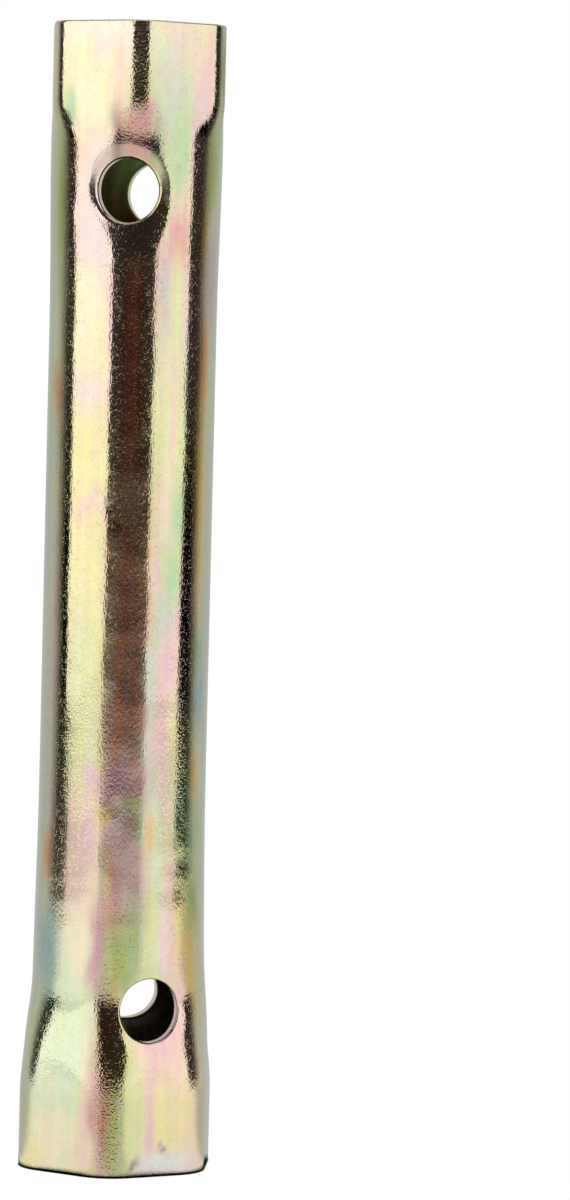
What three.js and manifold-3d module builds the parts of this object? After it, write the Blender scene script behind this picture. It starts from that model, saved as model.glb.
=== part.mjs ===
// Double-ended tubular box wrench: one length of steel tube, pressed to a hexagonal socket at each end and
// cross-drilled through both walls near each end for a turning bar.
// Millimetres, +Z up along the tube. The origin is at the centre of the lower rim, where the wrench stands.
// A corner of each hexagon faces the front, -Y, to within the few degrees by which it was pressed askew, so
// a pair of its flats faces +X and -X.

import * as THREE from 'three';
import { mergeVertices } from 'three/addons/utils/BufferGeometryUtils.js';
import Module from 'manifold-3d';

const { degToRad, lerp, smoothstep } = THREE.MathUtils;

// The tube
const OVERALL_LENGTH = 157;
const TUBE_DIAMETER = 23;
const TUBE_WALL = 2.3;
const RIM_CHAMFER = 0.4;

// The upper socket, for a 19 mm nut. A socket's turn is in degrees, from its front corner at -Y towards +X.
const UPPER_ACROSS_FLATS = 19.2;
const UPPER_WALL = 2.1;
const UPPER_HEX_LENGTH = 10.7;
const UPPER_TAPER_LENGTH = 5.7;
const UPPER_INNER_CORNER = 1.2;
const UPPER_OUTER_CORNER = 4.8;
const UPPER_SOCKET_TURN = 1.7;

// The lower socket, for a 22 mm nut, which is opened out further and so has the thinner wall
const LOWER_ACROSS_FLATS = 22.25;
const LOWER_WALL = 1.75;
const LOWER_HEX_LENGTH = 10;
const LOWER_TAPER_LENGTH = 15.5;
const LOWER_INNER_CORNER = 1.3;
const LOWER_OUTER_CORNER = 6.2;
const LOWER_SOCKET_TURN = - 5;

// Pressing a socket also swells the round tube next to it a little
const SWELL = 0.3;
const UPPER_SWELL_LENGTH = 24;
const LOWER_SWELL_LENGTH = 28;

// The cross holes, slightly taller than wide, run from front to back, but their drilling isn't exact.
// An angle turns the hole about the tube's axis, a tilt raises its back end, both in degrees, and an offset
// moves it sideways off that axis.
const HOLE_WIDTH = 8.2;
const HOLE_HEIGHT = 8.7;
const UPPER_HOLE_FROM_RIM = 22.8;
const UPPER_HOLE_ANGLE = 12.2;
const UPPER_HOLE_TILT = 0.5;
const UPPER_HOLE_OFFSET = 1.09;
const LOWER_HOLE_FROM_RIM = 22.8;
const LOWER_HOLE_ANGLE = - 9.35;
const LOWER_HOLE_TILT = 1.1;
const LOWER_HOLE_OFFSET = 2.64;

// The wall is pushed in around each hole, most at the hole's edge
const UPPER_DIMPLE_DEPTH = 0.5;
const LOWER_DIMPLE_DEPTH = 0.25;
const DIMPLE_REACH = 1.1;

// Fineness of the mesh
const SEGMENTS = 60;
const CORNER_CROWDING = 0.5;
const HOLE_SEGMENTS = 32;
const FINE_STEP = 2;
const COARSE_STEP = 30;
const LEAST_STEP = 0.4;

const SIDES = 6;
const SECTOR = 2 * Math.PI / SIDES;
const TUBE_RADIUS = TUBE_DIAMETER / 2;
const BORE_RADIUS = TUBE_RADIUS - TUBE_WALL;
const DIMPLE_EXTENT = HOLE_HEIGHT / 2 + 2 * DIMPLE_REACH;

const lowerSocket = {
	apothem: LOWER_ACROSS_FLATS / 2,
	wall: LOWER_WALL,
	innerCorner: LOWER_INNER_CORNER,
	outerCorner: LOWER_OUTER_CORNER,
	turn: degToRad( LOWER_SOCKET_TURN ),
	hexEnd: LOWER_HEX_LENGTH,
	taperEnd: LOWER_HEX_LENGTH + LOWER_TAPER_LENGTH,
	swellEnd: LOWER_HEX_LENGTH + LOWER_TAPER_LENGTH + LOWER_SWELL_LENGTH,
};

const upperSocket = {
	apothem: UPPER_ACROSS_FLATS / 2,
	wall: UPPER_WALL,
	innerCorner: UPPER_INNER_CORNER,
	outerCorner: UPPER_OUTER_CORNER,
	turn: degToRad( UPPER_SOCKET_TURN ),
	hexEnd: OVERALL_LENGTH - UPPER_HEX_LENGTH,
	taperEnd: OVERALL_LENGTH - UPPER_HEX_LENGTH - UPPER_TAPER_LENGTH,
	swellEnd: OVERALL_LENGTH - UPPER_HEX_LENGTH - UPPER_TAPER_LENGTH - UPPER_SWELL_LENGTH,
};

const sockets = [ lowerSocket, upperSocket ];

const crossHoles = [
	{
		height: LOWER_HOLE_FROM_RIM,
		angle: degToRad( LOWER_HOLE_ANGLE ),
		tilt: degToRad( LOWER_HOLE_TILT ),
		offset: LOWER_HOLE_OFFSET,
		dimpleDepth: LOWER_DIMPLE_DEPTH,
	},
	{
		height: OVERALL_LENGTH - UPPER_HOLE_FROM_RIM,
		angle: degToRad( UPPER_HOLE_ANGLE ),
		tilt: degToRad( UPPER_HOLE_TILT ),
		offset: UPPER_HOLE_OFFSET,
		dimpleDepth: UPPER_DIMPLE_DEPTH,
	},
];

// Polar radius of a hexagon with rounded corners, at an angle measured from the middle of a flat
function hexRadius( angle, apothem, cornerRadius ) {

	const fromFlat = Math.abs( angle - SECTOR * Math.round( angle / SECTOR ) );
	const halfSide = apothem * Math.tan( SECTOR / 2 );
	const flatEnd = halfSide - cornerRadius * Math.tan( SECTOR / 2 );

	if ( apothem * Math.tan( fromFlat ) <= flatEnd ) return apothem / Math.cos( fromFlat );

	const arcCentre = ( apothem - cornerRadius ) / Math.cos( SECTOR / 2 );
	const fromCorner = SECTOR / 2 - fromFlat;
	const across = arcCentre * Math.sin( fromCorner );
	return arcCentre * Math.cos( fromCorner ) + Math.sqrt( cornerRadius ** 2 - across ** 2 );

}

// 1 where the socket is a full hexagon, falling to 0 where its taper ends in the round tube
function hexShare( socket, z ) {

	return smoothstep( ( z - socket.taperEnd ) / ( socket.hexEnd - socket.taperEnd ), 0, 1 );

}

// How far the wall is turned with the sockets at a height
function turnAt( z ) {

	return sockets.reduce( ( sum, socket ) => sum + socket.turn * hexShare( socket, z ), 0 );

}

// 1 beside the socket's taper, falling to 0 where the swelling ends
function swellShare( socket, z ) {

	return smoothstep( ( z - socket.swellEnd ) / ( socket.taperEnd - socket.swellEnd ), 0, 1 );

}

// How far the wall is pushed in at a point, by the holes drilled near it
function dimple( x, y, z ) {

	let depth = 0;

	for ( const hole of crossHoles ) {

		const sideways = x * Math.cos( hole.angle ) - y * Math.sin( hole.angle ) - hole.offset;
		const along = x * Math.sin( hole.angle ) + y * Math.cos( hole.angle );
		const upwards = z - hole.height - along * Math.tan( hole.tilt );
		const share = Math.hypot( sideways / ( HOLE_WIDTH / 2 ), upwards / ( HOLE_HEIGHT / 2 ) );
		const fromEdge = Math.max( 0, share - 1 ) * HOLE_HEIGHT / 2;
		depth += hole.dimpleDepth * Math.exp( - ( ( fromEdge / DIMPLE_REACH ) ** 2 ) );

	}

	return depth;

}

// Radius of the pressed wall, where wallShare is 0 on the bore and 1 on the outside
function pressedRadius( angle, z, wallShare ) {

	let outer = TUBE_RADIUS;
	let inner = BORE_RADIUS;

	for ( const socket of sockets ) {

		const swelling = SWELL * swellShare( socket, z );
		const share = hexShare( socket, z );
		const fromFlat = angle - socket.turn;
		const hexOuter = hexRadius( fromFlat, socket.apothem + socket.wall, socket.outerCorner );
		const hexInner = hexRadius( fromFlat, socket.apothem, socket.innerCorner );
		outer = lerp( outer + swelling, hexOuter, share );
		inner = lerp( inner + swelling, hexInner, share );

	}

	const radius = lerp( inner, outer, wallShare );
	return radius - dimple( radius * Math.cos( angle ), radius * Math.sin( angle ), z );

}

// Heights of the rings of vertices: close together where the wall bends, far apart where it is straight
function ringHeights() {

	const first = RIM_CHAMFER;
	const last = OVERALL_LENGTH - RIM_CHAMFER;
	const bends = [
		[ lowerSocket.hexEnd, lowerSocket.taperEnd ],
		[ upperSocket.taperEnd, upperSocket.hexEnd ],
		...crossHoles.map( hole => [ hole.height - DIMPLE_EXTENT, hole.height + DIMPLE_EXTENT ] ),
	];
	const stops = [ ...bends.flat(), lowerSocket.swellEnd, upperSocket.swellEnd ]
		.filter( z => z > first + LEAST_STEP && z < last - LEAST_STEP )
		.sort( ( a, b ) => a - b );
	const heights = [ first ];

	for ( const stop of [ ...stops, last ] ) {

		const start = heights.at( - 1 );
		const middle = ( start + stop ) / 2;
		const inBend = bends.some( ( [ low, high ] ) => middle > low && middle < high );
		const steps = Math.round( ( stop - start ) / ( inBend ? FINE_STEP : COARSE_STEP ) );

		for ( let i = 1; i < steps; i ++ ) heights.push( lerp( start, stop, i / steps ) );
		if ( stop - start > LEAST_STEP ) heights.push( stop );

	}

	return heights;

}

// A plain round tube with chamfered rims, as a closed profile turned about Z
function roundTube() {

	const heights = ringHeights();
	const outside = heights.map( z => new THREE.Vector2( TUBE_RADIUS, z ) );
	const inside = heights.toReversed().map( z => new THREE.Vector2( BORE_RADIUS, z ) );
	const rim = z => [
		new THREE.Vector2( TUBE_RADIUS - RIM_CHAMFER, z ),
		new THREE.Vector2( BORE_RADIUS + RIM_CHAMFER, z ),
	];
	const profile = [ ...outside, ...rim( OVERALL_LENGTH ), ...inside, ...rim( 0 ).toReversed() ];

	profile.push( profile[ 0 ].clone() );

	return new THREE.LatheGeometry( profile, SEGMENTS ).rotateX( Math.PI / 2 );

}

// Presses the round tube to shape: each vertex moves radially, and round towards the nearest hexagon corner
function press( geometry ) {

	const position = geometry.getAttribute( 'position' );
	const vertex = new THREE.Vector3();

	for ( let i = 0; i < position.count; i ++ ) {

		vertex.fromBufferAttribute( position, i );

		const turned = Math.atan2( vertex.y, vertex.x );
		const crowding = CORNER_CROWDING / SIDES * Math.sin( SIDES * turned );
		const angle = turned + crowding + turnAt( vertex.z );
		const wallShare = ( Math.hypot( vertex.x, vertex.y ) - BORE_RADIUS ) / TUBE_WALL;
		const radius = pressedRadius( angle, vertex.z, wallShare );
		position.setXYZ( i, radius * Math.cos( angle ), radius * Math.sin( angle ), vertex.z );

	}

	return geometry;

}

// The bar-shaped piece that a cross hole takes out of both walls
function holeCutter( hole ) {

	const length = 2 * TUBE_DIAMETER;

	return new THREE.CylinderGeometry( 1, 1, length, HOLE_SEGMENTS )
		.scale( HOLE_WIDTH / 2, 1, HOLE_HEIGHT / 2 )
		.rotateX( hole.tilt )
		.translate( hole.offset, 0, hole.height )
		.rotateZ( - hole.angle );

}

const wasm = await Module();
wasm.setup();

// A closed geometry as a manifold-3d solid
function toSolid( geometry ) {

	const bare = geometry.clone();
	bare.deleteAttribute( 'normal' );
	bare.deleteAttribute( 'uv' );

	const merged = mergeVertices( bare );

	return new wasm.Manifold( new wasm.Mesh( {
		numProp: 3,
		vertProperties: merged.getAttribute( 'position' ).array,
		triVerts: Uint32Array.from( merged.index.array ),
	} ) );

}

// A manifold-3d solid as a geometry
function toGeometry( solid ) {

	const mesh = solid.getMesh();
	const geometry = new THREE.BufferGeometry();
	geometry.setAttribute( 'position', new THREE.BufferAttribute( mesh.vertProperties, 3 ) );
	geometry.setIndex( new THREE.BufferAttribute( mesh.triVerts, 1 ) );

	return geometry.toNonIndexed();

}

function wrenchTube() {

	let solid = toSolid( press( roundTube() ) );

	for ( const hole of crossHoles ) solid = solid.subtract( toSolid( holeCutter( hole ) ) );

	const geometry = toGeometry( solid );
	geometry.computeVertexNormals();

	const yellowZinc = new THREE.MeshStandardMaterial( {
		color: 0xdccf94,
		metalness: 1,
		roughness: 0.3,
	} );
	const mesh = new THREE.Mesh( geometry, yellowZinc );
	mesh.name = 'wrench_tube';

	return mesh;

}

const wrench = new THREE.Group();
wrench.add( wrenchTube() );

export default wrench;
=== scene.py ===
"""A double-ended tubular box wrench in yellow zinc plate, on a pale floor between two softboxes.

The wrench is one steel tube, so it is one piece here too: both walls, the rounded rims and the rounded edges
of the cross holes are one closed mesh, worked out from the same sizes as the solid that it replaces.
Lengths are in millimetres until the mesh is made. Angles are in radians unless a name ends in DEG
or a comment says degrees.
"""

import math
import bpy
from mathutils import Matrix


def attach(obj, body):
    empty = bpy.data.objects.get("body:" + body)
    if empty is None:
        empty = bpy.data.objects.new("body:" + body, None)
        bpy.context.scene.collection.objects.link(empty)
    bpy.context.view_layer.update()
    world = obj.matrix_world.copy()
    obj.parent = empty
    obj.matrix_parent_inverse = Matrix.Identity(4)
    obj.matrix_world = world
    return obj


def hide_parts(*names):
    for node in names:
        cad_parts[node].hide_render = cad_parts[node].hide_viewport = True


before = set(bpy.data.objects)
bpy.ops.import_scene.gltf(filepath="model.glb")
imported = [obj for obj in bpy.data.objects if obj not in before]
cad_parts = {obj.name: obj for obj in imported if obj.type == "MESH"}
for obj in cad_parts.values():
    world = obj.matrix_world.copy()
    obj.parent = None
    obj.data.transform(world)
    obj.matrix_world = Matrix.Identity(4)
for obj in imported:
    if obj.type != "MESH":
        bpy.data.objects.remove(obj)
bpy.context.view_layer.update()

from types import SimpleNamespace

import bpy
import numpy as np
from mathutils import Matrix, Vector

MM = 0.001
RAD = math.pi / 180

# The tube
OVERALL_LENGTH = 157
TUBE_DIAMETER = 23
TUBE_WALL = 2.3
SWELL = 0.3

# The sockets
lower_socket = SimpleNamespace(
    apothem=22.25 / 2, wall=1.72, inner_corner=1.3, outer_corner=6.2, turn=-5 * RAD,
    hex_end=10, taper_end=25.5, swell_end=53.5,
)
upper_socket = SimpleNamespace(
    apothem=19.2 / 2, wall=2.1, inner_corner=1.2, outer_corner=4.1, turn=1.7 * RAD,
    hex_end=OVERALL_LENGTH - 10.7, taper_end=OVERALL_LENGTH - 16.4, swell_end=OVERALL_LENGTH - 40.4,
)
SOCKETS = (lower_socket, upper_socket)

# The cross holes, and the wall pushed in around them
HOLE_WIDTH = 8.2
HOLE_HEIGHT = 8.7
DIMPLE_REACH = 1.25
lower_hole = SimpleNamespace(
    height=22.8, angle=-9.35 * RAD, tilt=1.1 * RAD, offset=2.64,
    dimple=0.25, reach_below=1.1, edge_round=0.35,
)
upper_hole = SimpleNamespace(
    height=OVERALL_LENGTH - 22.8, angle=12.2 * RAD, tilt=0.5 * RAD, offset=1.09,
    dimple=0.6, reach_below=2.4, edge_round=0.6,
)
HOLES = (lower_hole, upper_hole)
FRONT = -1
BACK = 1

# Bulges of the pressed wall over the lower socket. Each: how far out, angle from the front towards +X
# in degrees, height, half width in degrees, half height
BULGES = ((0.42, 85, 22, 32, 5.5), (0.3, -88, 19.5, 32, 4.5))
# Knocks. Each: depth, angle from the front towards +X in degrees, height, radius
NICKS = ((0.03, 45, 43.3, 0.5), (0.03, -4, 50.5, 0.5), (0.03, -12.8, 91.8, 0.5))

# Rounding of the edges
INNER_EDGE_ROUND = 0.25
RIM_OUTER_ROUND = 0.4
RIM_INNER_ROUND = 0.3

# Fineness of the mesh
SEGMENTS = 200
ROW_STEP = 0.8
WINDOW_REACH = 7.4
WINDOW_RINGS = 14
ROUND_STEPS = 6
HOLE_WALL_STEPS = 5

SIDES = 6
SECTOR = 2 * math.pi / SIDES
TUBE_RADIUS = TUBE_DIAMETER / 2
BORE_RADIUS = TUBE_RADIUS - TUBE_WALL


# The shape of the walls

def smooth(share):
    """0 to 1 as share goes from 0 to 1, with level ends."""
    share = np.clip(share, 0, 1)
    return share * share * (3 - 2 * share)


def hex_radius(from_flat, apothem, corner_radius):
    """Polar radius of a hexagon with rounded corners, at an angle measured from the middle of a flat."""
    off_flat = np.abs(from_flat - SECTOR * np.round(from_flat / SECTOR))
    flat_end = (apothem - corner_radius) * math.tan(SECTOR / 2)
    on_flat = apothem / np.cos(off_flat)
    arc_centre = (apothem - corner_radius) / math.cos(SECTOR / 2)
    from_corner = SECTOR / 2 - off_flat
    across = np.minimum(arc_centre * np.sin(from_corner), corner_radius)
    on_arc = arc_centre * np.cos(from_corner) + np.sqrt(corner_radius**2 - across**2)
    return np.where(apothem * np.tan(off_flat) <= flat_end, on_flat, on_arc)


def hex_share(socket, z):
    """1 where the socket is a full hexagon, falling to 0 where its taper ends in the round tube."""
    return smooth((z - socket.taper_end) / (socket.hex_end - socket.taper_end))


def swell_share(socket, z):
    """1 beside the socket's taper, falling to 0 where the swelling ends."""
    return smooth((z - socket.swell_end) / (socket.taper_end - socket.swell_end))


def dimple(x, y, z):
    """How far the wall is pushed in at a point, by the holes near it."""
    depth = 0
    for hole in HOLES:
        sideways = x * math.cos(hole.angle) - y * math.sin(hole.angle) - hole.offset
        along = x * math.sin(hole.angle) + y * math.cos(hole.angle)
        upwards = z - hole.height - along * math.tan(hole.tilt)
        share = np.hypot(sideways / (HOLE_WIDTH / 2), upwards / (HOLE_HEIGHT / 2))
        from_edge = np.maximum(0, share - 1) * HOLE_HEIGHT / 2
        below = smooth(-upwards / (HOLE_HEIGHT / 2))
        reach = DIMPLE_REACH + (hole.reach_below - DIMPLE_REACH) * below
        depth = depth + hole.dimple * np.exp(-((from_edge / reach) ** 2))
    return depth


def unevenness(angle, z, wall_share):
    """How far the wall stands out at bulges, and in at knocks, which only the outside has."""
    from_front = (angle / RAD + 270) % 360 - 180
    rise = 0
    for height, at_angle, at_z, half_width, half_height in BULGES:
        away = ((from_front - at_angle) / half_width) ** 2 + ((z - at_z) / half_height) ** 2
        rise = rise + height * np.exp(-away)
    for depth, at_angle, at_z, radius in NICKS:
        across = (from_front - at_angle) * RAD * TUBE_RADIUS
        rise = rise - wall_share * depth * np.exp(-(across**2 + (z - at_z) ** 2) / radius**2)
    return rise


def wall_radius(angle, z, wall_share):
    """Radius of the pressed wall, where wall_share is 0 on the bore and 1 on the outside."""
    outer = TUBE_RADIUS
    inner = BORE_RADIUS
    for socket in SOCKETS:
        swelling = SWELL * swell_share(socket, z)
        share = hex_share(socket, z)
        from_flat = angle - socket.turn
        hex_outer = hex_radius(from_flat, socket.apothem + socket.wall, socket.outer_corner)
        hex_inner = hex_radius(from_flat, socket.apothem, socket.inner_corner)
        outer = (outer + swelling) * (1 - share) + hex_outer * share
        inner = (inner + swelling) * (1 - share) + hex_inner * share
    radius = inner * (1 - wall_share) + outer * wall_share + unevenness(angle, z, wall_share)
    return radius - dimple(radius * np.cos(angle), radius * np.sin(angle), z)


def wall_point(angle, z, wall_share):
    """Points of the wall, as rows of x, y, z."""
    radius = wall_radius(angle, z, wall_share)
    return np.stack([radius * np.cos(angle), radius * np.sin(angle), z + 0 * angle], axis=-1)


def hole_meets_wall(hole, side, turn, grow, wall_share):
    """Angle and height where a cross hole, its outline grown by grow, meets the wall on the side given."""
    across = hole.offset + (HOLE_WIDTH / 2 + grow) * np.cos(turn)
    up = (HOLE_HEIGHT / 2 + grow) * np.sin(turn)
    along = side * TUBE_RADIUS + 0 * turn
    for _ in range(40):
        x = across * math.cos(hole.angle) + along * math.sin(hole.angle)
        y = -across * math.sin(hole.angle) + along * math.cos(hole.angle)
        z = hole.height + up + along * math.tan(hole.tilt)
        angle = np.arctan2(y, x)
        along = side * np.sqrt(wall_radius(angle, z, wall_share) ** 2 - across**2)
    return angle, z


# The mesh

class MeshParts:
    """Vertices and faces gathered piece by piece."""

    def __init__(self):
        self.points = []
        self.faces = []
        self.count = 0

    def add(self, points):
        """Adds points of any array shape and returns their indices in the same shape."""
        flat = points.reshape(-1, 3)
        self.points.append(flat)
        indices = np.arange(self.count, self.count + len(flat)).reshape(points.shape[:-1])
        self.count += len(flat)
        return indices

    def join(self, ring_a, ring_b):
        """Quads between two closed rings of indices."""
        quads = [ring_a, np.roll(ring_a, -1), np.roll(ring_b, -1), ring_b]
        self.faces.append(np.stack(quads, axis=-1))

    def join_grid(self, grid, keep):
        """Quads between neighbours of a grid of indices that closes on itself sideways."""
        right = np.roll(grid, -1, axis=1)
        quads = np.stack([grid[:-1], right[:-1], right[1:], grid[1:]], axis=-1)
        self.faces.append(quads[keep])

    def used(self):
        """Points that faces use, and the faces with their indices closed up."""
        faces = np.concatenate(self.faces)
        names, closed = np.unique(faces, return_inverse=True)
        return np.concatenate(self.points)[names], closed.reshape(faces.shape)


def hole_window(hole, side, angles, heights):
    """Row and column ranges of the grid cells that a hole's patch takes the place of."""
    angle, z = hole_meets_wall(hole, side, np.array([0, math.pi]), 0, 0.5)
    middle = angle.mean()
    reach = WINDOW_REACH / TUBE_RADIUS
    columns = np.searchsorted(angles, [middle - reach, middle + reach])
    rows = np.searchsorted(heights, [z.mean() - WINDOW_REACH, z.mean() + WINDOW_REACH])
    return rows, columns


def window_edge(rows, columns):
    """Row and column of each grid point round a window's edge, in order."""
    (low, high), (left, right) = rows, columns
    across, up = np.arange(left, right), np.arange(low, high)
    row = [low + 0 * across, up, high + 0 * across, up[::-1] + 1]
    column = [across, right + 0 * up, across[::-1] + 1, left + 0 * up]
    return np.concatenate(row), np.concatenate(column)


def add_hole(parts, hole, side, angles, heights, outer_grid, inner_grid, window):
    """Rings from the outer wall, over the rounded edge, through the hole and on to the inner wall."""
    row, column = window_edge(*window)
    edge_angle, edge_z = angles[column], heights[row]
    middle_angle, middle_z = hole_meets_wall(hole, side, np.array([0, math.pi]), 0, 0.5)
    sideways = -side * (edge_angle - middle_angle.mean()) * TUBE_RADIUS
    turn = np.arctan2((edge_z - middle_z.mean()) / HOLE_HEIGHT, sideways / HOLE_WIDTH)

    heading = np.array([math.sin(hole.angle), math.cos(hole.angle), math.tan(hole.tilt)])
    inwards = -side * heading / np.linalg.norm(heading)

    def wall_rings(edge_round, wall_share):
        end_angle, end_z = hole_meets_wall(hole, side, turn, edge_round, wall_share)
        for step in range(1, WINDOW_RINGS + 1):
            share = 1 - (1 - step / WINDOW_RINGS) ** 1.6
            angle = edge_angle + (end_angle - edge_angle) * share
            z = edge_z + (end_z - edge_z) * share
            yield wall_point(angle, z, wall_share)

    def rounded_rings(edge_round, wall_share, into_wall):
        for step in range(1, ROUND_STEPS + 1):
            bend = math.pi / 2 * step / ROUND_STEPS
            grow = edge_round * (1 - math.sin(bend))
            depth = edge_round * (1 - math.cos(bend))
            angle, z = hole_meets_wall(hole, side, turn, grow, wall_share)
            yield wall_point(angle, z, wall_share) + depth * into_wall

    outside = [*wall_rings(hole.edge_round, 1), *rounded_rings(hole.edge_round, 1, inwards)]
    inside = [*wall_rings(INNER_EDGE_ROUND, 0), *rounded_rings(INNER_EDGE_ROUND, 0, -inwards)]
    through = [
        outside[-1] + (inside[-1] - outside[-1]) * step / HOLE_WALL_STEPS
        for step in range(1, HOLE_WALL_STEPS)
    ]
    rings = [outer_grid[row, column]]
    rings += [parts.add(points) for points in [*outside, *through, *inside[::-1]]]
    rings.append(inner_grid[row, column])
    for ring_a, ring_b in zip(rings, rings[1:]):
        parts.join(ring_a, ring_b)


def rim_rings(angles, z_rim, up):
    """Rings over a rim, from the outer wall's last ring to the inner wall's."""
    rings = []
    for edge_round, wall_share, sign in ((RIM_OUTER_ROUND, 1, -1), (RIM_INNER_ROUND, 0, 1)):
        side = []
        for step in range(1, ROUND_STEPS + 1):
            bend = math.pi / 2 * step / ROUND_STEPS
            z = z_rim - up * edge_round * (1 - math.sin(bend))
            points = wall_point(angles, z, wall_share)
            shift = sign * edge_round * (1 - math.cos(bend))
            points[:, 0] += shift * np.cos(angles)
            points[:, 1] += shift * np.sin(angles)
            side.append(points)
        rings += side if wall_share else side[::-1]
    return rings


def wrench_mesh():
    """The whole tube as one closed mesh, in millimetres: points and quads."""
    parts = MeshParts()
    angles = np.linspace(-math.pi, math.pi, SEGMENTS, endpoint=False)
    round_most = max(RIM_OUTER_ROUND, RIM_INNER_ROUND)
    rows = round((OVERALL_LENGTH - 2 * round_most) / ROW_STEP) + 1
    heights = np.linspace(round_most, OVERALL_LENGTH - round_most, rows)
    angle_grid, z_grid = np.meshgrid(angles, heights)
    outer_grid = parts.add(wall_point(angle_grid, z_grid, 1))
    inner_grid = parts.add(wall_point(angle_grid, z_grid, 0))

    keep = np.ones((rows - 1, SEGMENTS), bool)
    for hole in HOLES:
        for side in (FRONT, BACK):
            window = hole_window(hole, side, angles, heights)
            (low, high), (left, right) = window
            keep[low:high, left:right] = False
            add_hole(parts, hole, side, angles, heights, outer_grid, inner_grid, window)
    parts.join_grid(outer_grid, keep)
    # A cell is named by its first column, so turned round it has the name of the column after
    parts.join_grid(inner_grid[:, ::-1], np.roll(keep[:, ::-1], -1, axis=1))

    for z_rim, up, last in ((OVERALL_LENGTH, 1, -1), (0, -1, 0)):
        rings = [outer_grid[last], *(parts.add(p) for p in rim_rings(angles, z_rim, up)), inner_grid[last]]
        for ring_a, ring_b in zip(rings, rings[1:]):
            if up > 0:
                parts.join(ring_a, ring_b)
            else:
                parts.join(ring_b, ring_a)
    return parts.used()


# The plating's colours, as linear light

# Cream and the pale yellow, pink and green are partly painted highlight: the plating's tints made paler where
# the softboxes' bright bands fall on the tube seen from the front
CREAM_WITH_PAINTED_HIGHLIGHT = (0.90, 0.82, 0.70)
PALE_YELLOW_WITH_PAINTED_HIGHLIGHT = (0.90, 0.82, 0.56)
YELLOW = (0.88, 0.77, 0.42)
HONEY = (0.84, 0.68, 0.32)
GOLD = (0.86, 0.62, 0.24)
ORANGE = (0.82, 0.44, 0.24)
RED = (0.66, 0.25, 0.16)
PEACH = (0.88, 0.68, 0.54)
PALE_PINK_WITH_PAINTED_HIGHLIGHT = (0.88, 0.69, 0.66)
PINK = (0.84, 0.57, 0.57)
ROSE = (0.74, 0.38, 0.34)
MAUVE = (0.66, 0.38, 0.40)
DUSK = (0.67, 0.48, 0.42)
LILAC = (0.63, 0.54, 0.54)
YELLOW_GREEN = (0.75, 0.75, 0.42)
PALE_GREEN_WITH_PAINTED_HIGHLIGHT = (0.72, 0.80, 0.56)
GREEN = (0.52, 0.66, 0.38)
OLIVE = (0.46, 0.55, 0.20)
DARK_OLIVE = (0.32, 0.27, 0.18)
GREY_GREEN = (0.62, 0.66, 0.52)
BLUE_GREEN = (0.46, 0.60, 0.57)
EDGE = (0.60, 0.67, 0.52)
WARM_BROWN = (0.62, 0.40, 0.25)
BROWN = (0.60, 0.31, 0.19)
RED_BROWN = (0.50, 0.24, 0.19)
GREY_BROWN = (0.50, 0.45, 0.34)
RUST = (0.20, 0.12, 0.07)
ZINC = (0.80, 0.79, 0.73)
BORE_HIGH = (0.40, 0.35, 0.20)
# The lower bore colour, almost black, is painted shade for the dark lower part of the bore
BORE_LOW_PAINTED_SHADE = (0.10, 0.085, 0.06)
BORE_GREEN = (0.42, 0.66, 0.32)
BORE_BROWN = (0.34, 0.22, 0.13)

# Tones that cover a wide area, under the patches. Each: colour, angle from the front towards +X in degrees,
# height, half width in degrees, half height
WIDE_TONES = (
    (BROWN, 1, 92, 13, 42),
    (GREY_BROWN, 1, 129, 13, 5),
    (RED_BROWN, 1, 64, 15, 10),
    (RED, -3, 110, 1.8, 13),
    (RED, 3.5, 112, 1.8, 11),
    (RED, -1, 82, 2, 8),
    (RED, -4.5, 68, 1.8, 14),
    (WARM_BROWN, 1, 93, 12, 6),
    (EDGE, -78, 78, 20, 90),
    (EDGE, 78, 78, 17, 90),
    (PEACH, -72, 151, 12, 6),
    (DARK_OLIVE, 74, 151, 10, 6),
)
# Each patch: colour, angle from the front towards +X in degrees, height, half width in degrees, half height
# Left side patches: the plating's tints, made paler as painted highlight in the band where the left softbox
# shines, seen from the front
LEFT_SIDE_TINTS_WITH_PAINTED_HIGHLIGHT = (
    (CREAM_WITH_PAINTED_HIGHLIGHT, -25, 155.5, 30, 2.5),
    (PALE_PINK_WITH_PAINTED_HIGHLIGHT, -22, 154, 7, 1.6),
    (PALE_YELLOW_WITH_PAINTED_HIGHLIGHT, -34, 147.5, 20, 6),
    (PEACH, -12, 149, 6, 4),
    (GREEN, -48, 145, 5, 3),
    (PEACH, -32, 139.6, 18, 2.5),
    (DARK_OLIVE, -12, 141.2, 5, 2.4),
    (DARK_OLIVE, 13, 140.8, 5, 2.4),
    (ROSE, 1, 142.6, 9, 3),
    (ROSE, 2, 141.6, 6, 2.6),
    (PALE_PINK_WITH_PAINTED_HIGHLIGHT, -30, 131, 16, 8),
    (PALE_YELLOW_WITH_PAINTED_HIGHLIGHT, -33, 118, 14, 6),
    (PINK, -15, 118, 4, 6),
    (PALE_PINK_WITH_PAINTED_HIGHLIGHT, -30, 107.3, 14, 3),
    (YELLOW, -33, 98.2, 14, 6.5),
    (PINK, -30, 90.7, 14, 1.5),
    (YELLOW, -33, 82, 14, 8),
    (YELLOW_GREEN, -30, 69, 15, 9),
    (YELLOW_GREEN, -32, 58, 15, 6),
    (PINK, -20, 53.8, 6, 1.8),
    (PINK, -22, 46, 8, 2.5),
    (PEACH, -32, 43, 14, 4),
    (PEACH, -30, 37.5, 14, 3),
    (PALE_YELLOW_WITH_PAINTED_HIGHLIGHT, -32, 34, 14, 4),
    (PALE_GREEN_WITH_PAINTED_HIGHLIGHT, -32, 26, 16, 3),
    (PALE_YELLOW_WITH_PAINTED_HIGHLIGHT, -34, 31, 13, 3.5),
    (GREEN, -49, 30, 6, 5),
    (OLIVE, -60, 133, 6, 9),
    (ORANGE, -62, 107, 6, 3),
    (ORANGE, -62, 44, 7, 2.5),
    (BLUE_GREEN, -57, 30, 13, 6),
)
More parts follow.
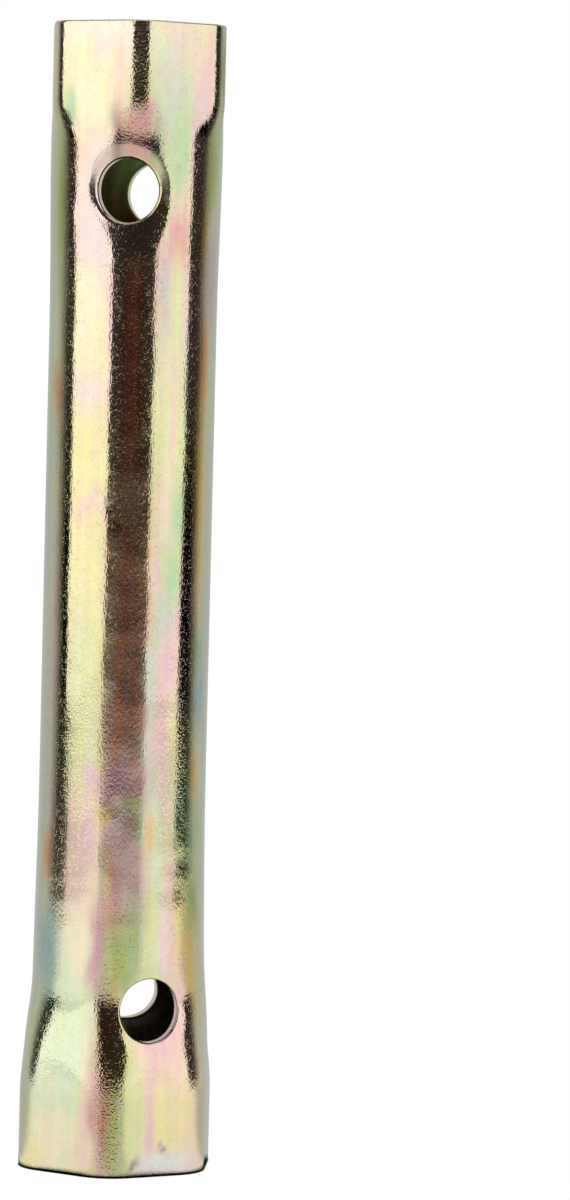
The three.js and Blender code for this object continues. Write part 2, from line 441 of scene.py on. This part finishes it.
# Right side patches: the plating's tints, made paler as painted highlight in the band where the right softbox
# shines, seen from the front
RIGHT_SIDE_TINTS_WITH_PAINTED_HIGHLIGHT = (
    (PEACH, 28, 154, 20, 3),
    (PALE_GREEN_WITH_PAINTED_HIGHLIGHT, 14, 153.5, 6, 2.5),
    (GREY_GREEN, 24, 146, 14, 6),
    (PINK, 48, 146, 8, 6),
    (GREEN, 30, 139, 12, 5),
    (PINK, 44, 138, 4, 6),
    (PINK, 32, 126.5, 14, 6.5),
    (ROSE, 31, 126, 9, 4.5),
    (YELLOW_GREEN, 22, 131, 2.5, 3),
    (YELLOW, 41, 128, 2, 5),
    (LILAC, 22, 118, 6, 6),
    (YELLOW_GREEN, 31, 118, 6, 6),
    (PINK, 41, 118, 5, 6),
    (YELLOW_GREEN, 31, 103, 13, 9.5),
    (PEACH, 30, 103, 2.5, 8),
    (PEACH, 26, 90.4, 5, 4),
    (GREEN, 36, 90.4, 6, 4),
    (GREEN, 31, 82, 10, 4.5),
    (PINK, 20, 82, 3, 4),
    (PINK, 42, 82, 3, 4),
    (GREY_GREEN, 28, 75.5, 8, 3),
    (PINK, 40, 75.5, 5, 3),
    (GREY_GREEN, 20, 68.7, 6, 5),
    (PINK, 30, 68.7, 8, 5),
    (GREY_GREEN, 19, 59, 5, 7),
    (PINK, 27, 59.5, 7, 6.5),
    (YELLOW, 37, 61, 5, 4),
    (GREY_GREEN, 22, 50.4, 7, 4),
    (PEACH, 31, 51, 7, 4),
    (YELLOW_GREEN, 28, 42, 12, 5),
    (PALE_GREEN_WITH_PAINTED_HIGHLIGHT, 22, 43, 6, 5),
    (GOLD, 19.5, 46.3, 4, 2),
    (PINK, 37, 40, 4, 4),
    (YELLOW_GREEN, 26, 32, 8, 6),
    (PALE_PINK_WITH_PAINTED_HIGHLIGHT, 31, 32, 3, 6),
    (PINK, 37, 31, 3.5, 5.5),
    (OLIVE, 62, 138, 8, 5),
    (GOLD, 54, 128, 5, 4),
    (LILAC, 68, 121.5, 9, 6),
    (ORANGE, 57, 110, 6, 5),
    (GOLD, 56, 92, 6, 13),
    (GREEN, 59, 71.4, 7, 2),
    (BLUE_GREEN, 62, 66, 8, 4),
    (GOLD, 58, 54.5, 6, 2.5),
    (GREEN, 60, 47, 8, 4),
)
FRONT_LOW = (
    (MAUVE, 0, 54, 14, 2.8),
    (OLIVE, 6, 50.3, 8, 1.3),
    (GOLD, -9, 50, 7, 0.9),
    (PINK, -6, 48.3, 6, 0.8),
    (DUSK, 4, 42, 14, 7),
    (PINK, -3.5, 43, 2.5, 6),
    (ROSE, -4, 39.5, 5, 3.5),
    (HONEY, -9, 40.5, 3, 3),
    (GREEN, 13.5, 46.8, 2.5, 1.5),
    (MAUVE, -15, 30.5, 5.5, 6.5),
    (ROSE, -4, 35, 7, 2.5),
    (OLIVE, 3, 29.8, 10, 4.5),
    (HONEY, 50, 32, 10, 8),
    (GOLD, 56, 29, 8, 6),
    (OLIVE, 60, 37, 6, 4),
)
LOWER_SOCKET = (
    # The pale green and yellow on the left of the socket are partly painted highlight, paler where the flat
    # mirrors bright light seen from the front
    (PALE_GREEN_WITH_PAINTED_HIGHLIGHT, -38, 14, 24, 9),
    (PALE_YELLOW_WITH_PAINTED_HIGHLIGHT, -38, 4.5, 24, 4),
    (PEACH, -22, 2.2, 7, 2),
    (YELLOW, -58, 2, 8, 2.5),
    (PEACH, -19, 8, 4, 8),
    (BROWN, -6, 19, 8, 6),
    (MAUVE, -10, 8, 4, 6),
    (OLIVE, 2, 7, 6, 9),
    (BROWN, -4, 8, 3.5, 6),
    (PINK, 28, 16, 13, 4.5),
    (PINK, 46, 21, 6, 6),
    (YELLOW, 34, 7.5, 18, 5),
    (YELLOW_GREEN, 14, 8, 4, 5),
    (PINK, 21, 7, 2, 5),
    (ZINC, 30, 1.2, 18, 1.7),
    (RUST, 31, 3.3, 2.5, 0.5),
    (RUST, 12, 2.2, 3, 0.5),
)
# Tones of the bore, behind the upper hole
BORE_TONES = (
    (BORE_BROWN, -160, 131, 18, 4),
    (BORE_GREEN, -174, 138, 16, 3.5),
)

# Worn places. Each: wear from 0 to 1, and the place as for a patch
WORN = (
    (0.9, 30, 1.2, 17, 1.6),
    (0.8, -12.8, 91.8, 2, 0.5),
    (0.6, -14, 93.4, 1.5, 0.4),
    (0.7, -8.2, 66.7, 2.2, 0.6),
    (0.8, 45, 43.3, 1.2, 0.6),
    (0.5, -4, 50.5, 1.4, 0.4),
    (0.5, -3, 157, 60, 0.5),
)
# Rougher and smoother places. Each: grain added, or taken away below 0, and the place as for a patch
ROUGH = (
    (2.8, 0, 150, 9, 7),
    (2.2, 0, 142, 17, 3.5),
    (0.8, 0, 128, 16, 3),
    (3.2, -5, 13, 9, 5),
    (4.0, -4, 6, 8, 6),
    (2.0, -5, 25, 9, 3),
    (1.2, -60, 14, 14, 12),
    (1.2, 52, 16, 10, 10),
    (1.7, -26, 57, 16, 7),
    (1.2, 42, 57, 7, 8),
    (-0.65, 2, 42, 17, 8),
    (-0.5, -31, 40, 13, 6),
)


def lattice_noise(turns, along, cells_round, cells_along, seed):
    """Smooth noise from -1 to 1 that closes on itself round the tube. Both places run from 0 to 1."""
    values = np.random.default_rng(seed).uniform(-1, 1, (cells_along + 2, cells_round))
    across, up = (turns % 1) * cells_round, np.clip(along, 0, 1) * cells_along
    column, row = np.floor(across).astype(int), np.floor(up).astype(int)
    share_across, share_up = smooth(across - column), smooth(up - row)
    left, right = column % cells_round, (column + 1) % cells_round
    low = values[row, left] * (1 - share_across) + values[row, right] * share_across
    high = values[row + 1, left] * (1 - share_across) + values[row + 1, right] * share_across
    return low * (1 - share_up) + high * share_up


def bloom(turns, along):
    """The plating's colour away from any patch, which drifts through yellow, pink and green in streaks."""
    drift = lattice_noise(turns, along, 9, 10, 1) + 0.7 * lattice_noise(turns, along, 31, 9, 2)
    stops = (-1.1, -0.6, 0, 0.5, 1.1)
    colours = np.array((GREEN, YELLOW_GREEN, YELLOW, PEACH, PINK))
    return np.stack([np.interp(drift, stops, colours[:, channel]) for channel in range(3)], axis=-1)


def patch_share(angle, height, place):
    """1 in the middle of a patch, falling to 0 outside it."""
    at_angle, at_height, half_width, half_height = place
    across = np.abs((angle - at_angle + 180) % 360 - 180) / half_width
    up = np.abs((height - at_height) / half_height)
    return np.exp(-0.7 * (across**2.5 + up**2.5))


def outside_share(points):
    """0 on the bore, 1 on the outside of the wall and most of the way through a cross hole."""
    x, y, z = points.T
    inner = wall_radius(np.arctan2(y, x), z, 0)
    return smooth((np.hypot(x, y) - inner - 0.3) / 0.5 + 0.5)


def finish(points):
    """Wear and added roughness of the grain at each point."""
    x, y, z = points.T
    turns, along = np.arctan2(x, -y) / (2 * math.pi), z / OVERALL_LENGTH
    angle = turns * 360 + 2 * lattice_noise(turns, along, 90, 120, 6)
    height = z + 0.5 * lattice_noise(turns, along, 110, 130, 7)
    wear, rough = 0 * z, 0 * z
    for amount, *place in WORN:
        wear = np.maximum(wear, amount * patch_share(angle, height, place))
    for amount, *place in ROUGH:
        rough = rough + amount * patch_share(angle, height, place)
    return wear, rough


def plating(points):
    """Linear colour of the plating at each point."""
    x, y, z = points.T
    turns, along = np.arctan2(x, -y) / (2 * math.pi), z / OVERALL_LENGTH
    colour = bloom(turns, along)
    wander = 2.5 * lattice_noise(turns, along, 24, 40, 3) + 1.5 * lattice_noise(turns, along, 60, 30, 4)
    angle = turns * 360 + wander
    height = z + 2 * lattice_noise(turns, along, 50, 26, 5)

    def with_patches(colour, patches):
        for patch_colour, *place in patches:
            share = patch_share(angle, height, place)[:, None]
            colour = colour * (1 - share) + np.array(patch_colour) * share
        return colour

    # The side patches carry painted highlight as well as the plating's tints
    colour = with_patches(colour, WIDE_TONES + LEFT_SIDE_TINTS_WITH_PAINTED_HIGHLIGHT + RIGHT_SIDE_TINTS_WITH_PAINTED_HIGHLIGHT + FRONT_LOW + LOWER_SOCKET)
    outside = outside_share(points)[:, None]
    # Painted shade: the bore's colour darkens to almost black in the lower part of the tube
    upper = smooth(along * 4 - 1.5)[:, None]
    bore = with_patches(np.array(BORE_HIGH) * upper + np.array(BORE_LOW_PAINTED_SHADE) * (1 - upper), BORE_TONES)
    return colour * outside + bore * (1 - outside)


def make_wrench():
    points, quads = wrench_mesh()
    mesh = bpy.data.meshes.new("wrench_body")
    mesh.from_pydata((points * MM).tolist(), [], quads.tolist())
    mesh.validate()
    mesh.shade_smooth()
    colour = np.ones((len(points), 4))
    colour[:, :3] = plating(points)
    attribute = mesh.attributes.new("plating", "FLOAT_COLOR", "POINT")
    attribute.data.foreach_set("color", colour.astype(np.float32).ravel())
    wear, rough = finish(points)
    for name, values in (("wear", wear), ("rough", rough), ("bore", 1 - outside_share(points))):
        attribute = mesh.attributes.new(name, "FLOAT", "POINT")
        attribute.data.foreach_set("value", values.astype(np.float32))
    wrench = bpy.data.objects.new("wrench_body", mesh)
    bpy.context.scene.collection.objects.link(wrench)
    return wrench


# Materials

def node(tree, kind, inputs=None, **settings):
    """A new node with its settings and its inputs, each a value or another node's output."""
    made = tree.nodes.new(kind)
    for name, value in settings.items():
        setattr(made, name, value)
    for name, value in (inputs or {}).items():
        if isinstance(value, bpy.types.NodeSocket):
            tree.links.new(value, made.inputs[name])
        else:
            made.inputs[name].default_value = value
    return made


def new_material(name):
    material = bpy.data.materials.new(name)
    material.use_nodes = True
    material.node_tree.nodes.clear()
    return material


def noise(tree, vector, scale, detail=2.0, roughness=0.5):
    return node(tree, "ShaderNodeTexNoise", {
        "Vector": vector, "Scale": scale, "Detail": detail, "Roughness": roughness,
    })


def math_node(tree, operation, *values):
    return node(tree, "ShaderNodeMath", dict(enumerate(values)), operation=operation).outputs[0]


def mix_colour(tree, blend, factor, base, other):
    made = node(tree, "ShaderNodeMix", data_type="RGBA", blend_type=blend)
    for place, value in ((0, factor), (6, base), (7, other)):
        if isinstance(value, bpy.types.NodeSocket):
            tree.links.new(value, made.inputs[place])
        else:
            made.inputs[place].default_value = value
    return made.outputs[2]


# Relief of the plated surface, in metres
GRAIN_HEIGHT = 0.000013
COARSE_GRAIN_HEIGHT = 0.00002
DRAWING_LINE_HEIGHT = 0.000006
DENT_HEIGHT = 0.0001
SCRATCH_HEIGHT = 0.0000055


def yellow_zinc():
    """Iridescent yellow zinc over a drawn and pickled steel tube: fine grain, drawing lines and specks."""
    material = new_material("yellow_zinc_steel")
    tree = material.node_tree
    coords = node(tree, "ShaderNodeTexCoord").outputs["Object"]
    drawn = node(tree, "ShaderNodeMapping", {"Vector": coords, "Scale": (1, 1, 0.03)}).outputs[0]
    plating_colour = node(tree, "ShaderNodeAttribute", attribute_name="plating").outputs["Color"]

    streaks = noise(tree, drawn, 1100, 3)
    blotches = noise(tree, coords, 900, 3, 0.6)
    colour = mix_colour(tree, "LINEAR_LIGHT", 0.10, plating_colour, streaks.outputs["Color"])
    colour = mix_colour(tree, "LINEAR_LIGHT", 0.10, colour, blotches.outputs["Color"])
    wear = node(tree, "ShaderNodeAttribute", attribute_name="wear").outputs["Fac"]
    scrape = noise(tree, coords, 1500, 3, 0.7).outputs[0]
    scrape = node(tree, "ShaderNodeMapRange", {"Value": scrape, "From Min": 0.4, "From Max": 0.55}).outputs[0]
    worn = math_node(tree, "MULTIPLY", wear, scrape)
    colour = mix_colour(tree, "MIX", worn, colour, (*ZINC, 1))

    fibres = node(tree, "ShaderNodeMapping", {"Vector": coords, "Scale": (1, 1, 0.4)}).outputs[0]
    grain = noise(tree, fibres, 4000, 1).outputs[0]
    lines = noise(tree, drawn, 1700, 2).outputs[0]
    dents = noise(tree, coords, 150, 1).outputs[0]
    rough = node(tree, "ShaderNodeAttribute", attribute_name="rough").outputs["Fac"]
    kept = math_node(tree, "MINIMUM", math_node(tree, "ADD", rough, 1), 1)
    added = math_node(tree, "MAXIMUM", rough, 0)
    grain = math_node(tree, "MULTIPLY", math_node(tree, "SUBTRACT", grain, 0.5), kept)
    height = math_node(tree, "MULTIPLY", grain, GRAIN_HEIGHT)
    coarse = math_node(tree, "SUBTRACT", noise(tree, coords, 3200, 1).outputs[0], 0.5)
    coarse = math_node(tree, "MULTIPLY", coarse, added)
    height = math_node(tree, "MULTIPLY_ADD", coarse, COARSE_GRAIN_HEIGHT, height)
    height = math_node(tree, "MULTIPLY_ADD", lines, DRAWING_LINE_HEIGHT, height)
    height = math_node(tree, "MULTIPLY_ADD", dents, DENT_HEIGHT, height)

    contour = noise(tree, coords, 2300, 0).outputs[0]
    contour = math_node(tree, "ABSOLUTE", math_node(tree, "SUBTRACT", contour, 0.5))
    contour = node(tree, "ShaderNodeMapRange", {
        "Value": contour, "From Min": 0, "From Max": 0.05, "To Min": 1, "To Max": 0,
    }, interpolation_type="SMOOTHSTEP").outputs[0]
    elsewhere = node(tree, "ShaderNodeMapping", {"Vector": coords, "Location": (0.5, 0.5, 0.5)}).outputs[0]
    sparse = noise(tree, elsewhere, 2000, 0).outputs[0]
    sparse = node(tree, "ShaderNodeMapRange", {
        "Value": sparse, "From Min": 0.55, "From Max": 0.65,
    }).outputs[0]
    scratches = math_node(tree, "MULTIPLY", contour, sparse)
    height = math_node(tree, "MULTIPLY_ADD", scratches, SCRATCH_HEIGHT, height)
    bump = node(tree, "ShaderNodeBump", {"Height": height, "Strength": 1, "Distance": 1})

    speck = noise(tree, coords, 7000, 1).outputs[0]
    speck = node(tree, "ShaderNodeMapRange", {"Value": speck, "From Min": 0.66, "From Max": 0.72}).outputs[0]
    dull = noise(tree, coords, 260, 3).outputs[0]
    roughness = math_node(tree, "MULTIPLY_ADD", dull, 0.08, 0.04)
    roughness = math_node(tree, "MULTIPLY_ADD", speck, 0.35, roughness)
    roughness = math_node(tree, "MULTIPLY_ADD", worn, 0.3, roughness)
    bore = node(tree, "ShaderNodeAttribute", attribute_name="bore").outputs["Fac"]
    roughness = math_node(tree, "MULTIPLY_ADD", bore, 0.35, roughness)
    metal = node(tree, "ShaderNodeBsdfPrincipled", {
        "Base Color": colour,
        "Metallic": 1,
        "Roughness": roughness,
        "Normal": bump.outputs[0],
    })
    node(tree, "ShaderNodeOutputMaterial", {"Surface": metal.outputs[0]})
    return material


# The studio

CAMERA_DISTANCE = 650
EYE_HEIGHT = 111.5
AIM = (21.86, 0, 78.61)
ROLL_DEG = 1.43
LENS = 141.4
SENSOR = 36

# Lamps, floor and room, in metres and linear light
SOFTBOX_DISTANCE = 0.75
SOFTBOX_HEIGHT = 1.3
SOFTBOX_MIDDLE = 0.5
SOFTBOX_LEFT = SimpleNamespace(sign=-1, turn=58.5 * RAD, half_width=28.5 * RAD, lean=0, radiance=1.15)
SOFTBOX_RIGHT = SimpleNamespace(sign=1, turn=61.2 * RAD, half_width=25 * RAD, lean=-15 * RAD, radiance=1.05)
SOFTBOX_ABOVE = SimpleNamespace(place=(0, 0.1, 1.3), size=1.1, radiance=0.8)
SHEET_HALF_WIDTH = 0.40
SHEET_SHIFT = 0.04
FLOOR_HALF = 4
ROOM = (0.034, 0.030, 0.026, 1)
ROOM_STREAK = (0.22, 0.11, 0.07, 1)
BACKDROP = (0.55, 0.57, 0.54, 1)


def make_camera():
    data = bpy.data.cameras.new("camera")
    data.sensor_width = SENSOR
    data.lens = LENS
    camera = bpy.data.objects.new("camera", data)
    place = Vector((0, -CAMERA_DISTANCE, EYE_HEIGHT)) * MM
    sight = Vector(AIM) * MM - place
    turn = sight.to_track_quat("-Z", "Y").to_matrix() @ Matrix.Rotation(ROLL_DEG * RAD, 3, "Z")
    camera.matrix_world = Matrix.Translation(place) @ turn.to_4x4()
    data.clip_end = 20
    bpy.context.scene.collection.objects.link(camera)
    bpy.context.scene.camera = camera


def add_softbox(name, place, target, width, height, radiance, lean=0):
    data = bpy.data.lights.new(name, "AREA")
    data.shape = "RECTANGLE"
    data.size = width
    data.size_y = height
    data.energy = math.pi * width * height * radiance
    lamp = bpy.data.objects.new(name, data)
    heading = Vector(target) - Vector(place)
    turn = heading.to_track_quat("-Z", "Y").to_matrix() @ Matrix.Rotation(lean, 3, "Z")
    lamp.matrix_world = Matrix.Translation(place) @ turn.to_4x4()
    lamp.visible_camera = False
    bpy.context.scene.collection.objects.link(lamp)


def make_lights():
    for name, box in (("softbox_left", SOFTBOX_LEFT), ("softbox_right", SOFTBOX_RIGHT)):
        across = box.sign * math.sin(box.turn)
        place = (SOFTBOX_DISTANCE * across, -SOFTBOX_DISTANCE * math.cos(box.turn), SOFTBOX_MIDDLE)
        width = 2 * SOFTBOX_DISTANCE * math.tan(box.half_width)
        add_softbox(name, place, (0, 0, SOFTBOX_MIDDLE), width, SOFTBOX_HEIGHT, box.radiance, box.lean)
    above = SOFTBOX_ABOVE
    add_softbox("softbox_above", above.place, (0, 0, 0), above.size, above.size, above.radiance)


def make_world():
    """White to the camera. To the metal, a dark room in front and a pale backdrop behind."""
    world = bpy.data.worlds.new("studio")
    bpy.context.scene.world = world
    world.use_nodes = True
    tree = world.node_tree
    tree.nodes.clear()
    direction = node(tree, "ShaderNodeTexCoord").outputs["Generated"]
    split = node(tree, "ShaderNodeSeparateXYZ", {0: direction})
    behind = node(tree, "ShaderNodeMapRange", {
        "Value": split.outputs["Y"], "From Min": 0.16, "From Max": 0.62,
    }, interpolation_type="SMOOTHSTEP").outputs[0]
    band = node(tree, "ShaderNodeCombineXYZ", {0: split.outputs["X"]}).outputs[0]
    streak = node(tree, "ShaderNodeTexNoise", {"Vector": band, "Scale": 22, "Detail": 3})
    streak = node(tree, "ShaderNodeMapRange", {
        "Value": streak.outputs[0], "From Min": 0.45, "From Max": 0.65,
    }).outputs[0]
    centred = math_node(tree, "ABSOLUTE", math_node(tree, "SUBTRACT", split.outputs["X"], 0.01))
    centred = node(tree, "ShaderNodeMapRange", {
        "Value": centred, "From Min": 0.05, "From Max": 0.2, "To Min": 1, "To Max": 0,
    }).outputs[0]
    low = node(tree, "ShaderNodeMapRange", {
        "Value": split.outputs["Z"], "From Min": 0.01, "From Max": 0.04, "To Min": 1, "To Max": 0,
    }).outputs[0]
    streak = math_node(tree, "MULTIPLY", math_node(tree, "MULTIPLY", streak, centred), low)
    front = mix_colour(tree, "MIX", streak, ROOM, ROOM_STREAK)
    room = mix_colour(tree, "MIX", behind, front, BACKDROP)
    path = node(tree, "ShaderNodeLightPath")
    seen = mix_colour(tree, "MIX", path.outputs["Is Camera Ray"], room, (1, 1, 1, 1))
    background = node(tree, "ShaderNodeBackground", {"Color": seen, "Strength": 1})
    node(tree, "ShaderNodeOutputWorld", {"Surface": background.outputs[0]})


def make_floor():
    """White to the camera, darkened by a painted contact shadow close round the wrench. The metal mirrors a
    lit white sheet round the wrench, dimmed by painted shade near it, and darkness beyond it.
    """
    mesh = bpy.data.meshes.new("floor")
    corners = [(FLOOR_HALF * x, FLOOR_HALF * y, 0) for x, y in ((-1, -1), (1, -1), (1, 1), (-1, 1))]
    mesh.from_pydata(corners, [], [(0, 1, 2, 3)])
    floor = bpy.data.objects.new("floor", mesh)
    bpy.context.scene.collection.objects.link(floor)
    material = new_material("floor_white")
    tree = material.node_tree
    path = node(tree, "ShaderNodeLightPath")
    # Painted contact shadow: ambient occlusion within half a millimetre darkens the white that the camera
    # sees almost to black
    contact = node(tree, "ShaderNodeAmbientOcclusion", {"Distance": 0.0005}, samples=16)
    shade = node(tree, "ShaderNodeMapRange", {
        "Value": contact.outputs["AO"], "From Min": 0.5, "From Max": 0.7, "To Min": 0.02, "To Max": 1,
    }).outputs[0]
    white = node(tree, "ShaderNodeEmission", {"Color": (1, 1, 1, 1), "Strength": shade})

    place = node(tree, "ShaderNodeTexCoord").outputs["Object"]
    split = node(tree, "ShaderNodeSeparateXYZ", {0: place})
    aside = math_node(tree, "ABSOLUTE", split.outputs["X"])
    from_middle = math_node(tree, "ABSOLUTE", math_node(tree, "SUBTRACT", split.outputs["X"], SHEET_SHIFT))
    forward = math_node(tree, "MULTIPLY", split.outputs["Y"], -1)
    azimuth = math_node(tree, "ARCTAN2", aside, forward)

    def fade(value, low, high, at_low, at_high):
        return node(tree, "ShaderNodeMapRange", {
            "Value": value, "From Min": low, "From Max": high, "To Min": at_low, "To Max": at_high,
        }, interpolation_type="SMOOTHSTEP").outputs[0]

    distant = fade(forward, 0.7, 1.9, 0.24, 0.11)
    front = math_node(tree, "ADD", distant, fade(forward, 0.27, 0.9, 0.60, 0))
    gap = fade(azimuth, 74 * RAD, 84 * RAD, 0.66, 0.04)
    towards = []
    for box in (SOFTBOX_LEFT, SOFTBOX_RIGHT):
        ahead = math_node(tree, "MULTIPLY", forward, math.cos(box.turn))
        sideways = box.sign * math.sin(box.turn)
        towards.append(math_node(tree, "MULTIPLY_ADD", split.outputs["X"], sideways, ahead))
    towards_box = math_node(tree, "MAXIMUM", *towards)
    gap = math_node(tree, "MULTIPLY", gap, fade(towards_box, SOFTBOX_DISTANCE - 0.02, SOFTBOX_DISTANCE, 1, 0))
    on_sheet = fade(from_middle, SHEET_HALF_WIDTH - 0.03, SHEET_HALF_WIDTH + 0.08, 1, 0)
    side = node(tree, "ShaderNodeMix", {0: on_sheet, 2: gap, 3: 1.0}, data_type="FLOAT").outputs[0]
    side = math_node(tree, "MULTIPLY", side, fade(azimuth, 80 * RAD, 105 * RAD, 1, 0.58))
    side = math_node(tree, "MAXIMUM", side, fade(azimuth, 95 * RAD, 125 * RAD, 0, 0.56))
    beside = fade(azimuth, 22 * RAD, 34 * RAD, 0, 1)
    level = node(tree, "ShaderNodeMix", {0: beside, 2: front, 3: side}, data_type="FLOAT").outputs[0]
    from_wrench = node(tree, "ShaderNodeVectorMath", {0: place}, operation="LENGTH").outputs["Value"]
    # Painted shade: the mirrored sheet is dimmed close to the wrench and where ambient occlusion finds it
    # hemmed in, standing for the wrench's shadow on the floor
    level = math_node(tree, "MULTIPLY", level, fade(from_wrench, 0.03, 0.2, 0.9, 1))
    near = node(tree, "ShaderNodeAmbientOcclusion", {"Distance": 0.006}, samples=16)
    near = node(tree, "ShaderNodeMapRange", {
        "Value": near.outputs["AO"], "From Min": 0.6, "From Max": 0.8,
    }).outputs[0]
    level = math_node(tree, "MULTIPLY", level, near)
    mirrored = node(tree, "ShaderNodeEmission", {"Color": (1, 1, 1, 1), "Strength": level})
    matt = node(tree, "ShaderNodeBsdfDiffuse", {"Color": (0.8, 0.8, 0.8, 1)})
    other = node(tree, "ShaderNodeMixShader", {
        0: path.outputs["Is Glossy Ray"], 1: matt.outputs[0], 2: mirrored.outputs[0],
    })
    seen = node(tree, "ShaderNodeMixShader", {
        0: path.outputs["Is Camera Ray"], 1: other.outputs[0], 2: white.outputs[0],
    })
    node(tree, "ShaderNodeOutputMaterial", {"Surface": seen.outputs[0]})
    mesh.materials.append(material)


wrench = make_wrench()
wrench.data.materials.append(yellow_zinc())
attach(wrench, "root")
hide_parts("wrench_tube")

make_floor()
make_lights()
make_world()
make_camera()
bpy.context.scene.view_settings.view_transform = "Standard"
